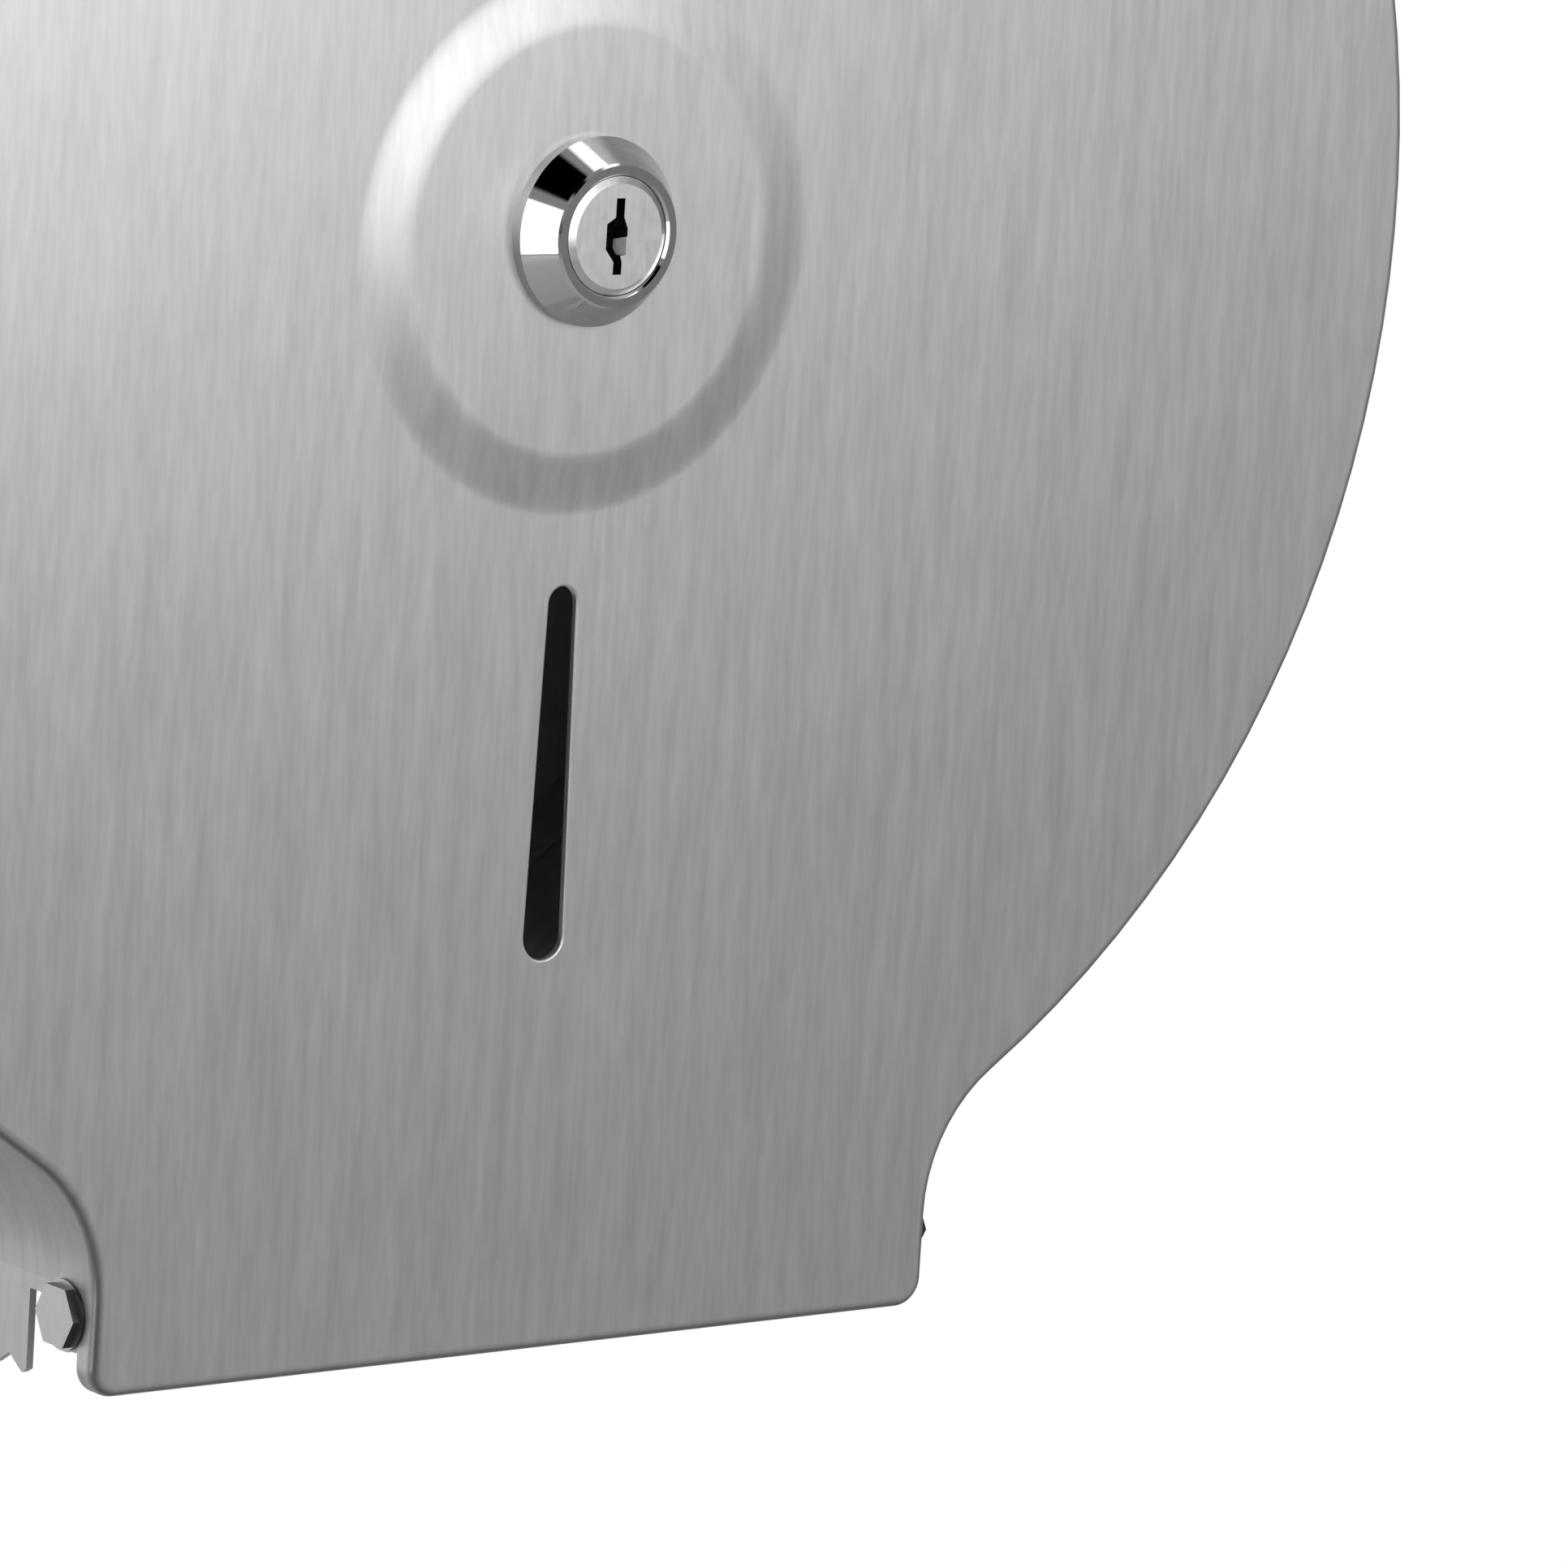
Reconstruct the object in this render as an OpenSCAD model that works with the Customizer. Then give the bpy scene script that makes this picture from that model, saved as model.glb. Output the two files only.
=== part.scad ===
// Wall-mounted jumbo toilet roll dispenser in brushed sheet steel.
// The origin is on the drum's axis at the wall, +Z is up and the front faces -Y.
// Lengths named "out" are measured from the wall towards the front.

/* [Case] */
// Radius of the drum
drum_r = 135; // [125:1:150]
// Depth of the case from the wall to the front face
case_depth = 120; // [110:1:135]
// Half width of the spout
spout_half = 65.496; // [55:0.001:75]
// Length of the spout's straight sides below the neck
side_l = 12.48; // [12:0.01:16]
// Radius of the curve from the drum into the spout
neck_r = 21.927; // [15:0.001:26]
// Radius of the front plate's lower corners
corner_r = 3.8; // [2.5:0.1:6]

/* [Sheet] */
// Thickness of the cover's and the band's sheet
sheet_t = 1.0; // [0.8:0.1:1.2]
// Outside radius of the cover's bends
bend_r = 1.5; // [1.3:0.1:2]
// Thickness of the back plate
back_t = 1.2; // [1:0.1:1.5]
// Depth of the back plate's turned rim
back_rim = 10; // [7:0.5:14]
// Gap between the cover's rim and the band
rim_gap = 0.5; // [0.4:0.05:0.8]
// Gap between the band and the back plate's rim
weld_gap = 0.2; // [0.1:0.05:0.3]

/* [Cover] */
// Depth of the rim round the cover
rim_depth = 7.5; // [7:0.1:8]
// Depth of the lip below the hinge ears
lip_depth = 3.5; // [3:0.1:4]
// Depth of the return along the lower edge
return_depth = 5; // [3:0.1:6]
// Half length of the return along the lower edge
return_half = 60; // [48:0.5:60]
// Outer radius of the pressed boss
boss_r = 35; // [32:0.5:40]
// Radius of the boss's flat top
boss_top_r = 26.7; // [24:0.1:29]
// Height of the boss
boss_h = 1.0; // [0.5:0.1:2]
// Distance from the drum's axis to the sight slot's upper end
slot_top = 43.9; // [40:0.1:50]
// Distance from the drum's axis to the sight slot's lower end
slot_end = 91.8; // [80:0.1:105]
// Width of the sight slot at its upper end
slot_top_w = 4.3; // [3:0.1:6]
// Width of the sight slot at its lower end
slot_end_w = 6.1; // [4:0.1:8]

/* [Hinge] */
// Distance from the front face back to the hinge bolts
pin_back = 6.5; // [6.3:0.1:6.8]
// Height of the hinge bolts above the spout's lower edge
pin_lift = 9.6; // [9.2:0.1:10]
// Radius of the hinge bolts' shanks
pin_r = 2.5; // [2:0.1:2.8]
// Radial clearance of the hinge bolts
pin_clear = 0.1; // [0.05:0.01:0.1]
// Radius of the cover's hinge ears
ear_r = 4.7; // [4.2:0.1:5]
// Radius of the round collar under the bolt heads
collar_r = 4.5; // [4:0.1:4.8]
// Thickness of the round collar
collar_t = 0.4; // [0.3:0.1:1]
// Width of the bolts' hexagons across the flats
head_af = 7.4; // [6:0.1:7.8]
// Height of the bolts' hexagons
head_h = 1.2; // [0.8:0.1:3]
// Thickness of the nylon hinge washers
hinge_washer_t = 0.3; // [0.2:0.05:0.3]
// Radius of the nylon hinge washers
hinge_washer_r = 4.4; // [3.5:0.1:4.6]
// Thickness of the hinge nuts
hinge_nut_t = 3; // [2:0.1:4]
// Width of the hinge nuts across the flats
hinge_nut_af = 8; // [7:0.1:9]
// Bolt end that stands out of its nut
thread_end = 0.6; // [0.3:0.1:1.5]

/* [Lower edge] */
// Width of each hinge tab behind the bolt
tab_back = 7.7; // [7:0.1:8]
// Radius of the tab's rear lower corner
tab_corner_r = 4; // [3:0.1:4.5]
// Width of the slit behind each tab
slit_w = 2.55; // [2:0.05:3]
// Height of the slit's top above the hinge bolts
slit_rise = 1.0; // [0.5:0.1:2]
// Reach of the teeth below the spout's lower edge
tooth_reach = 0.45; // [0:0.05:1.5]
// Height of the teeth
tooth_h = 1.9; // [1.2:0.1:2.5]
// Pitch of the teeth
tooth_pitch = 6; // [4:0.5:8]
// Distance from the slit to the first tooth's tip
first_tip = 1.0; // [0.8:0.1:1.5]
// Plain length of the lower edge next to the wall
plain_end = 9; // [6:1:20]

/* [Back plate] */
// Spacing of the wall screw slots across
slots_x = 160; // [120:1:170]
// Spacing of the wall screw slots in height
slots_z = 120; // [100:1:130]
// Width of the wall screw slots
screw_slot_w = 6.5; // [5:0.1:8]
// Length of the wall screw slots
screw_slot_l = 12; // [9:0.5:16]
// Rim of the pressed pad outside the spindle flange
pad_rim = 6; // [4:0.5:10]
// Width of the pad's slope
pad_slope = 6; // [4:0.5:8]
// Height of the pad
pad_h = 3; // [2:0.1:4]

/* [Spindle] */
// Outer radius of the spindle tube
tube_r = 21; // [20:0.1:22]
// Wall of the spindle tube
tube_wall = 1.5; // [1:0.1:1.8]
// Rim of the spindle flange outside the rivets' circle
flange_rim = 4.5; // [4:0.1:6]
// Thickness of the spindle flange
flange_t = 2; // [1.5:0.1:3]
// Distance from the spindle tube out to the rivets' circle
rivet_reach = 10.5; // [9:0.1:11]
// Number of rivets
rivet_n = 4; // [3:1:6]
// Radius of the rivet shanks
rivet_r = 2; // [1.5:0.1:2.2]
// Radius of the rivet heads
rivet_head_r = 3.6; // [3:0.1:4]
// Height of the rivet heads
rivet_head_h = 1.4; // [1:0.1:1.6]
// Thickness of the strike plate
strike_t = 1.5; // [1.2:0.1:2]

/* [Roll hub] */
// Wall of the roll hub round the spindle tube
hub_wall = 4; // [3.5:0.1:5]
// Radial clearance of the hub and its washers on the spindle tube
hub_clear = 0.1; // [0.05:0.01:0.1]
// Reach of the hub's flange beyond its sleeve
hub_flange_w = 13; // [12:0.5:18]
// Thickness of the hub's flange
hub_flange_t = 2.5; // [2:0.1:4]
// Number of grooves along the hub
groove_n = 6; // [3:1:8]
// Width of the grooves
groove_w = 3; // [2:0.1:4]
// Depth of the grooves
groove_d = 1.2; // [0.6:0.1:1.5]
// Length of the taper at the hub's front end
hub_taper = 5; // [3:0.5:8]
// Amount by which that taper narrows the radius
hub_taper_r = 1.4; // [0.5:0.1:2]
// Running gap at each end of the hub
hub_play = 0.3; // [0.2:0.05:0.6]
// Thickness of the thrust washers
thrust_t = 1.4; // [1:0.1:2]
// Reach of the thrust washers beyond the spindle tube
thrust_rim = 3.3; // [2.5:0.1:3.4]
// Thickness of the circlip
clip_t = 1.2; // [1:0.1:1.6]
// Reach of the circlip beyond the spindle tube
clip_rim = 2.2; // [1.6:0.1:2.6]
// Depth of the circlip's groove
clip_groove = 0.8; // [0.5:0.1:1]
// Gap between the circlip's ends
clip_gap = 9; // [7:0.5:12]
// Radius of the lugs at the circlip's ends
clip_lug_r = 1.9; // [1.7:0.1:2]
// Radius of the holes in those lugs
clip_hole_r = 0.8; // [0.6:0.1:1]

/* [Lock] */
// Height of the lock above the drum's axis
lock_rise = 1.4; // [0:0.1:2]
// Radius of the lock's head at the cover
head_base_r = 12; // [11:0.1:13]
// Radius of the lock's head at its front
head_front_r = 8.9; // [8.6:0.1:9.6]
// Height of the lock's head
lock_head_h = 6; // [4:0.1:8]
// Height of the straight foot at the head's base
head_foot = 1.6; // [0.6:0.1:2.4]
// Radius of the lock's barrel
barrel_r = 9.4; // [9.2:0.1:9.6]
// Width of the barrel across its flats
barrel_flats = 17.2; // [16.8:0.1:18]
// Length of the barrel behind the cover's face
barrel_l = 16; // [14:0.1:17]
// Radius of the lock's plug
plug_r = 7.5; // [7:0.1:7.7]
// Radial clearance of the plug
plug_clear = 0.1; // [0.05:0.01:0.1]
// Width of the bevel inside the head's mouth
face_groove = 0.4; // [0.3:0.05:0.8]
// Width of the bevel round the plug's face
plug_bevel = 0.9; // [0.5:0.1:1.2]
// Height of the keyway
keyway_h = 9.6; // [8:0.1:11]
// Width of the keyway's slits
keyway_w = 1.3; // [1:0.1:1.6]
// Depth of the keyway
keyway_d = 17; // [14:0.5:18]
// Depth of the slope that leads the key in
key_lead = 1.2; // [0.6:0.1:1.8]
// Thickness of the lock's spring washer
spring_washer_t = 0.8; // [0.6:0.1:1.2]
// Width of the lock nut across the flats
lock_nut_af = 23; // [22:0.1:26]
// Thickness of the lock nut
lock_nut_t = 5; // [3:0.1:6]
// Number of wafers
wafer_n = 5; // [3:1:6]
// Distance from the plug's face back to the first wafer
wafer_first = 4; // [3:0.1:5]
// Pitch of the wafers
wafer_pitch = 2.5; // [2.2:0.1:2.8]
// Thickness of the wafers
wafer_t = 1; // [0.8:0.05:1.2]
// Width of the wafers
wafer_w = 5.6; // [4.8:0.1:6]
// Height of the wafers
wafer_h = 13.2; // [12.6:0.1:13.4]
// Clearance round the wafers
wafer_clear = 0.15; // [0.1:0.01:0.2]

/* [Cam] */
// Width of the square tail that turns the cam
tail_w = 7; // [6:0.1:7.5]
// Thickness of the stop washer
stop_t = 1; // [0.8:0.1:1.2]
// Radius of the stop washer
stop_r = 8.8; // [8.6:0.1:9]
// Depth of the stop washer's cut-out
stop_cut = 1.3; // [1:0.1:1.5]
// Width of the stop lug on the barrel, in degrees
lug_width = 20; // [14:1:26]
// Free angle beyond the quarter turn, in degrees
lug_free = 4; // [2:1:8]
// Reach of the cam from the lock's axis
cam_reach = 15.5; // [14.5:0.1:16]
// Width of the cam's blade
cam_w = 10; // [8:0.1:11]
// Thickness of the cam
cam_t = 2; // [1.5:0.1:2.4]
// Thickness of the washer under the cam screw
cam_washer_t = 0.8; // [0.5:0.1:1.2]
// Radius of the cam washer
cam_washer_r = 5.2; // [5:0.1:6]
// Width of the cam screw's hexagon across the flats
cam_screw_af = 7; // [6:0.1:8]
// Height of the cam screw's head
cam_screw_h = 2.8; // [2:0.1:3.5]
// Radius of the cam screw's shank
cam_screw_r = 2; // [1.6:0.1:2.2]
// Length of the cam screw's shank in the plug
cam_screw_l = 7; // [4:0.5:8]
// Room round the lock in the strike plate's opening
strike_room = 1.8; // [1.5:0.1:2]
// Room beside and below the cam in the strike plate's opening
cam_room = 1.2; // [1:0.1:1.4]

/* [Hidden] */
$fn = 96;
eps = 0.01;         // overlap that makes cuts pass right through
past = 2;           // how far a cutting body passes the sheet
press_steps = 8;    // steps of a pressed slope
bend_lap = 1;       // how far a bend's section laps onto the sheet at its ends
quarter = 90;       // turn of the lock in degrees
wedge_steps = 6;    // steps of a wedge's rim
edge_break = 0.3;   // small bevels on rivets and on the lock's head

// The outline's neck: centre of the curve that leads from the drum into the spout
neck_x = spout_half + neck_r;
neck_z = -sqrt(pow(drum_r + neck_r, 2) - pow(neck_x, 2));

// Drops below the drum's axis
spout_drop = side_l - neck_z;
tooth_drop = spout_drop + tooth_reach;

// Insets of the layers from the cover's outside
band_out = sheet_t + rim_gap;
band_in = band_out + sheet_t;
back_out = band_in + weld_gap;

// The hinge
pin_out = case_depth - pin_back;
pin_z = pin_lift - spout_drop;
tab_r = pin_back - bend_r;
band_front = pin_out + tab_r;
slit_front = pin_out - tab_back;
slit_rear = slit_front - slit_w;
slit_z = pin_z + slit_rise;
ear_slope = 50;     // angle of the ear's straight flank in degrees
ear_gap = 0.1;      // gap at each side of a hinge ear and of its washer

// Radii round the spindle
rivet_circle_r = tube_r + rivet_reach;
flange_r = rivet_circle_r + flange_rim;
pad_top_r = flange_r + pad_rim;
pad_r = pad_top_r + pad_slope;
hub_r = tube_r + hub_wall;
hub_flange_r = hub_r + hub_flange_w;
thrust_r = tube_r + thrust_rim;
clip_r = tube_r + clip_rim;

// The spindle's stack, out from the wall
flange_out = pad_h + back_t;
tube_foot = flange_out + flange_t;
hub_foot = tube_foot + thrust_t + hub_play;

// The lock's stack, out from the wall
boss_out = case_depth + boss_h;
face_out = boss_out + lock_head_h;
barrel_end = boss_out - barrel_l;
stop_gap = 0.2;
stop_front = barrel_end - stop_gap;
cam_front = stop_front - stop_t;
cam_rear = cam_front - cam_t;
washer_rear = cam_rear - cam_washer_t;
strike_gap = 0.6;   // gap between the cam and the strike plate in front of it
strike_rear = cam_front + strike_gap;
tube_front = strike_rear;
strike_r = barrel_r + strike_room;

// The circlip near the spindle's front end, and the hub's length up to it
clip_inset = 4.2;   // from the strike plate back to the circlip's groove
clip_play = 0.1;    // play of the circlip in its groove
clip_front = tube_front - clip_inset;
clip_rear = clip_front - clip_t;
thrust_gap = 0.2;
front_thrust = clip_rear - thrust_gap - thrust_t;
hub_front = front_thrust - hub_play;

// The wall along which the teeth run
tooth_front = slit_rear;
tooth_n = floor((tooth_front - first_tip - plain_end) / tooth_pitch);
tooth_root = -tooth_drop + tooth_h;

// Extrudes a shape drawn in X and Z between two distances from the wall
module layer(from, to) {
    translate([0, -from, 0])
        rotate([90, 0, 0])
            linear_extrude(to - from)
                children();
}

// Turns a profile, drawn as radius and distance from the wall, about the drum's axis
module turned(a = 360) {
    rotate([90, 0, 0])
        rotate_extrude(angle = a)
            children();
}

// Extrudes a shape, drawn as distance from the wall and height, between two places in X
module crosswise(from, to) {
    translate([from, 0, 0])
        mirror([0, 1, 0])
            rotate([90, 0, 90])
                linear_extrude(to - from)
                    children();
}

module both_sides() {
    children();
    mirror([1, 0, 0])
        children();
}

// The case's outline, drawn inwards by an inset all round
module outline(inset) {
    side = spout_half - inset;
    low = -spout_drop + inset;
    round_r = corner_r - inset;
    difference() {
        union() {
            circle(drum_r - inset);
            polygon([
                [0, 0], [-neck_x, neck_z], [-side, neck_z], [-side, low],
                [side, low], [side, neck_z], [neck_x, neck_z]
            ]);
        }
        for (s = [-1, 1])
            translate([s * neck_x, neck_z])
                circle(neck_r + inset);
        if (round_r > 0)
            for (s = [0, 1])
                mirror([s, 0])
                    translate([side - round_r, low + round_r])
                        difference() {
                            translate([0, -round_r - past])
                                square([round_r + past, round_r + past]);
                            circle(round_r);
                        }
    }
}

// A wall that follows the outline, from one inset to another, down to a height
module outline_wall(outer, inner, low) {
    difference() {
        outline(outer);
        outline(inner);
        translate([-spout_half - past, -spout_drop - past])
            square([2 * (spout_half + past), low + spout_drop + past]);
    }
}

// Carries a profile, drawn as inset and distance from the wall, round the drum,
// through both necks and down the spout's sides to a height
module round_the_case(low) {
    far = 2 * (drum_r + neck_r);
    intersection() {
        turned()
            translate([drum_r, 0])
                mirror([1, 0])
                    children();
        layer(0, case_depth + past)
            polygon([
                [0, 0], [2 * neck_x, 2 * neck_z], [far, 2 * neck_z], [far, far],
                [-far, far], [-far, 2 * neck_z], [-2 * neck_x, 2 * neck_z]
            ]);
    }
    both_sides() {
        intersection() {
            translate([neck_x, 0, neck_z])
                turned()
                    translate([neck_r, 0])
                        children();
            layer(0, case_depth + past)
                polygon([[0, 0], [neck_x, neck_z], [0, neck_z]]);
        }
        translate([spout_half, 0, low])
            linear_extrude(neck_z - low)
                rotate(180)
                    children();
    }
}

// Section of the cover's bent edge: a lap on the plate, the bend and a flange behind it
module bent_edge(depth) {
    translate([bend_r, case_depth - sheet_t])
        square([bend_lap, sheet_t]);
    translate([bend_r, case_depth - bend_r])
        intersection() {
            difference() {
                circle(bend_r);
                circle(bend_r - sheet_t);
            }
            translate([-bend_r, 0])
                square(bend_r);
        }
    translate([0, case_depth - depth])
        square([sheet_t, depth - bend_r]);
}

// A disc pressed forward in a sheet, with a soft slope from its edge to its flat top
module pressed_disc(edge_r, top_r, height, face, thick) {
    slope = [for (i = [0:press_steps])
        [edge_r + (top_r - edge_r) * i / press_steps, height * (1 - cos(180 * i / press_steps)) / 2]];
    upper = [for (p = slope) [p[0], face + p[1]]];
    lower = [for (i = [press_steps:-1:0]) [slope[i][0], face - thick + slope[i][1]]];
    turned()
        polygon(concat(upper, [[0, face + height], [0, face + height - thick]], lower));
}

module hexagon(af) {
    circle(d = af / cos(30), $fn = 6);
}

// The barrel's round shape with its two flats
module barrel_shape(r, flats) {
    intersection() {
        circle(r);
        square([flats, 2 * r + past], center = true);
    }
}

module back_plate() {
    slot_run = (screw_slot_l - screw_slot_w) / 2;
    color("silver")
        difference() {
            union() {
                layer(0, back_t)
                    difference() {
                        outline(back_out);
                        circle(pad_r);
                    }
                pressed_disc(pad_r, pad_top_r, pad_h, back_t, back_t);
                layer(0, back_rim)
                    outline_wall(back_out, back_out + back_t, back_out + back_t - spout_drop);
            }
            for (x = [-1, 1], z = [-1, 1])
                translate([x * slots_x / 2, 0, z * slots_z / 2])
                    layer(-past, back_t + past) {
                        for (s = [-1, 1])
                            translate([s * slot_run, 0])
                                circle(screw_slot_w / 2);
                        square([2 * slot_run, screw_slot_w], center = true);
                    }
            rivet_places()
                layer(0, flange_out + past)
                    circle(rivet_r + pin_clear);
        }
}

// The spout's side wall as seen from the side: hinge tab, slit and toothed edge
module side_wall(top) {
    corner_out = slit_front + tab_corner_r;
    corner_z = pin_z - tab_r + tab_corner_r;
    tips = [for (i = [0:tooth_n - 1]) tooth_front - first_tip - tooth_pitch * i];
    polygon(concat(
        [[tooth_front, top], [tooth_front, tooth_root - tooth_h * (1 - 2 * first_tip / tooth_pitch)]],
        [for (t = tips, half = [0, 1]) [t - half * tooth_pitch / 2, half == 0 ? -tooth_drop : tooth_root]],
        [[-past, tooth_root], [-past, top]]
    ));
    translate([slit_rear - past, slit_z])
        square([slit_w + 2 * past, top - slit_z]);
    translate([slit_front, corner_z])
        square([band_front - slit_front, top - corner_z]);
    translate([corner_out, pin_z - tab_r])
        square([pin_out - corner_out, tab_r]);
    translate([corner_out, corner_z])
        circle(tab_corner_r);
    translate([pin_out, pin_z])
        circle(tab_r);
}

module band() {
    top = slit_z + past;
    color("gainsboro")
        difference() {
            union() {
                layer(0, band_front)
                    outline_wall(band_out, band_in, pin_z);
                both_sides()
                    translate([spout_half - band_in, -band_front, -tooth_drop])
                        cube([sheet_t, band_front, pin_z + tooth_drop]);
            }
            both_sides()
                crosswise(spout_half - band_in - past, drum_r)
                    difference() {
                        translate([-past, -tooth_drop - past])
                            square([case_depth + past, top + tooth_drop + past]);
                        side_wall(top + past);
                    }
            both_sides()
                at_pin()
                    translate([0, 0, spout_half - band_in - past])
                        cylinder(r = pin_r + pin_clear, h = sheet_t + 2 * past);
        }
}

module rivet_places() {
    for (i = [0:rivet_n - 1])
        rotate([0, 45 + 360 * i / rivet_n, 0])
            translate([rivet_circle_r, 0, 0])
                children();
}

module spindle_flange() {
    color("lightgrey")
        difference() {
            layer(flange_out, tube_foot)
                circle(flange_r);
            rivet_places()
                layer(flange_out - past, tube_foot + past)
                    circle(rivet_r + pin_clear);
        }
}

module spindle_rivets() {
    tail_r = rivet_head_r - edge_break;
    color("grey")
        rivet_places()
            turned()
                polygon([
                    [0, pad_h - rivet_head_h], [tail_r - edge_break, pad_h - rivet_head_h],
                    [tail_r, pad_h], [rivet_r, pad_h],
                    [rivet_r, tube_foot], [rivet_head_r, tube_foot],
                    [rivet_head_r, tube_foot + rivet_head_h / 3],
                    [rivet_head_r - rivet_head_h, tube_foot + rivet_head_h],
                    [0, tube_foot + rivet_head_h]
                ]);
}

module spindle_tube() {
    groove_r = tube_r - clip_groove;
    color("lightgrey")
        turned()
            difference() {
                translate([tube_r - tube_wall, tube_foot])
                    square([tube_wall, tube_front - tube_foot]);
                translate([groove_r, clip_rear - clip_play])
                    square([tube_wall, clip_t + 2 * clip_play]);
            }
}

module strike_plate() {
    opening_w = cam_w + 2 * cam_room;
    color("lightgrey")
        layer(strike_rear, strike_rear + strike_t)
            difference() {
                circle(tube_r);
                translate([0, lock_rise])
                    circle(strike_r);
                translate([-opening_w / 2, lock_rise - cam_reach - cam_room])
                    square([opening_w, cam_reach + cam_room]);
            }
}

module thrust_washer(rear) {
    color("white")
        layer(rear, rear + thrust_t)
            difference() {
                circle(thrust_r);
                circle(tube_r + hub_clear);
            }
}

module circlip() {
    lug_x = (clip_gap + clip_lug_r) / 2;
    lug_z = -tube_r - clip_lug_r / 3;
    color("dimgrey")
        layer(clip_rear, clip_front)
            difference() {
                union() {
                    circle(clip_r);
                    for (s = [-1, 1])
                        translate([s * lug_x, lug_z])
                            circle(clip_lug_r);
                }
                circle(tube_r - clip_groove + clip_play);
                translate([-clip_gap / 2, -clip_r - clip_lug_r])
                    square([clip_gap, clip_r]);
                for (s = [-1, 1])
                    translate([s * lug_x, lug_z])
                        circle(clip_hole_r);
            }
}

module roll_hub() {
    bore_r = tube_r + hub_clear;
    color("whitesmoke")
        difference() {
            turned()
                polygon([
                    [bore_r, hub_foot], [hub_flange_r, hub_foot],
                    [hub_flange_r, hub_foot + hub_flange_t], [hub_r, hub_foot + hub_flange_t],
                    [hub_r, hub_front - hub_taper], [hub_r - hub_taper_r, hub_front],
                    [bore_r, hub_front]
                ]);
            for (i = [0:groove_n - 1])
                rotate([0, 360 * (i + 0.5) / groove_n, 0])
                    layer(hub_foot + hub_flange_t, hub_front + past)
                        translate([hub_r - groove_d, -groove_w / 2])
                            square([groove_d + past, groove_w]);
        }
}

module at_pin() {
    translate([0, -pin_out, pin_z])
        rotate([0, 90, 0])
            children();
}

module hinge_bolts() {
    head_x = spout_half + ear_gap;
    tip_x = spout_half - band_in - hinge_nut_t - thread_end;
    color("silver")
        both_sides()
            at_pin() {
                translate([0, 0, tip_x])
                    cylinder(r = pin_r, h = head_x - tip_x);
                translate([0, 0, head_x])
                    cylinder(r = collar_r, h = collar_t);
                translate([0, 0, head_x + collar_t])
                    linear_extrude(head_h)
                        rotate(90)
                            hexagon(head_af);
            }
}

module hinge_nuts() {
    color("silver")
        both_sides()
            at_pin()
                translate([0, 0, spout_half - band_in - hinge_nut_t])
                    linear_extrude(hinge_nut_t)
                        difference() {
                            hexagon(hinge_nut_af);
                            circle(pin_r + pin_clear);
                        }
}

module hinge_washers() {
    color("ivory")
        both_sides()
            at_pin()
                translate([0, 0, spout_half - band_out + ear_gap])
                    linear_extrude(hinge_washer_t)
                        difference() {
                            circle(hinge_washer_r);
                            circle(pin_r + pin_clear);
                        }
}

// The sight slot: round ends of two widths and the taper between them
module sight_slot() {
    top_r = slot_top_w / 2;
    end_r = slot_end_w / 2;
    translate([0, -slot_top - top_r])
        circle(top_r);
    translate([0, -slot_end + end_r])
        circle(end_r);
    polygon([
        [-top_r, -slot_top - top_r], [top_r, -slot_top - top_r],
        [end_r, -slot_end + end_r], [-end_r, -slot_end + end_r]
    ]);
}

// One hinge ear: its round end and the straight flank up to the rim
module hinge_ear() {
    foot = [-ear_r * cos(ear_slope), ear_r * sin(ear_slope)];
    reach = (ear_r * cos(ear_slope) - (rim_depth - pin_back)) / sin(ear_slope);
    translate([pin_out, pin_z]) {
        circle(ear_r);
        polygon([
            [0, 0], foot,
            [pin_back - rim_depth, foot[1] + reach * cos(ear_slope)],
            [0, foot[1] + reach * cos(ear_slope)]
        ]);
    }
}

module cover_rim() {
    low = corner_r - spout_drop;
    layer(case_depth - rim_depth, case_depth - bend_r)
        outline_wall(0, sheet_t, low);
    round_the_case(low)
        bent_edge(bend_r + bend_lap);
    both_sides()
        translate([spout_half - corner_r, 0, low])
            rotate([90, 0, 0])
                rotate([0, 0, -90])
                    rotate_extrude(angle = 90)
                        translate([corner_r, 0])
                            mirror([1, 0])
                                bent_edge(lip_depth);
    lower_edge(spout_half - corner_r, bend_r + bend_lap);
    lower_edge(return_half, return_depth);
}

// The bent lower edge, with a return of its own depth
module lower_edge(half, depth) {
    translate([-half, 0, -spout_drop])
        rotate([90, 0, 90])
            linear_extrude(2 * half)
                rotate(90)
                    bent_edge(depth);
}

module cover() {
    color("lightgrey")
        difference() {
            union() {
                layer(case_depth - sheet_t, case_depth)
                    difference() {
                        outline(bend_r + bend_lap / 2);
                        circle(boss_r);
                        sight_slot();
                    }
                pressed_disc(boss_r, boss_top_r, boss_h, case_depth, sheet_t);
                difference() {
                    cover_rim();
                    both_sides()
                        crosswise(spout_half - sheet_t - eps, spout_half + past)
                            lip_cut();
                }
                both_sides()
                    crosswise(spout_half - sheet_t, spout_half)
                        hinge_ear();
            }
            translate([0, 0, lock_rise])
                layer(case_depth - past, boss_out + past)
                    barrel_shape(barrel_r + 2 * plug_clear, barrel_flats + 2 * plug_clear);
            at_pin()
                translate([0, 0, -spout_half - past])
                    cylinder(r = pin_r + pin_clear, h = 2 * (spout_half + past));
        }
}

// What the rim lacks below the hinge bolt: only a narrow lip stays in front
module lip_cut() {
    rear = case_depth - rim_depth - past;
    low = -spout_drop - past;
    translate([rear, low])
        square([case_depth - lip_depth - rear, pin_z - low]);
}

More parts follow.
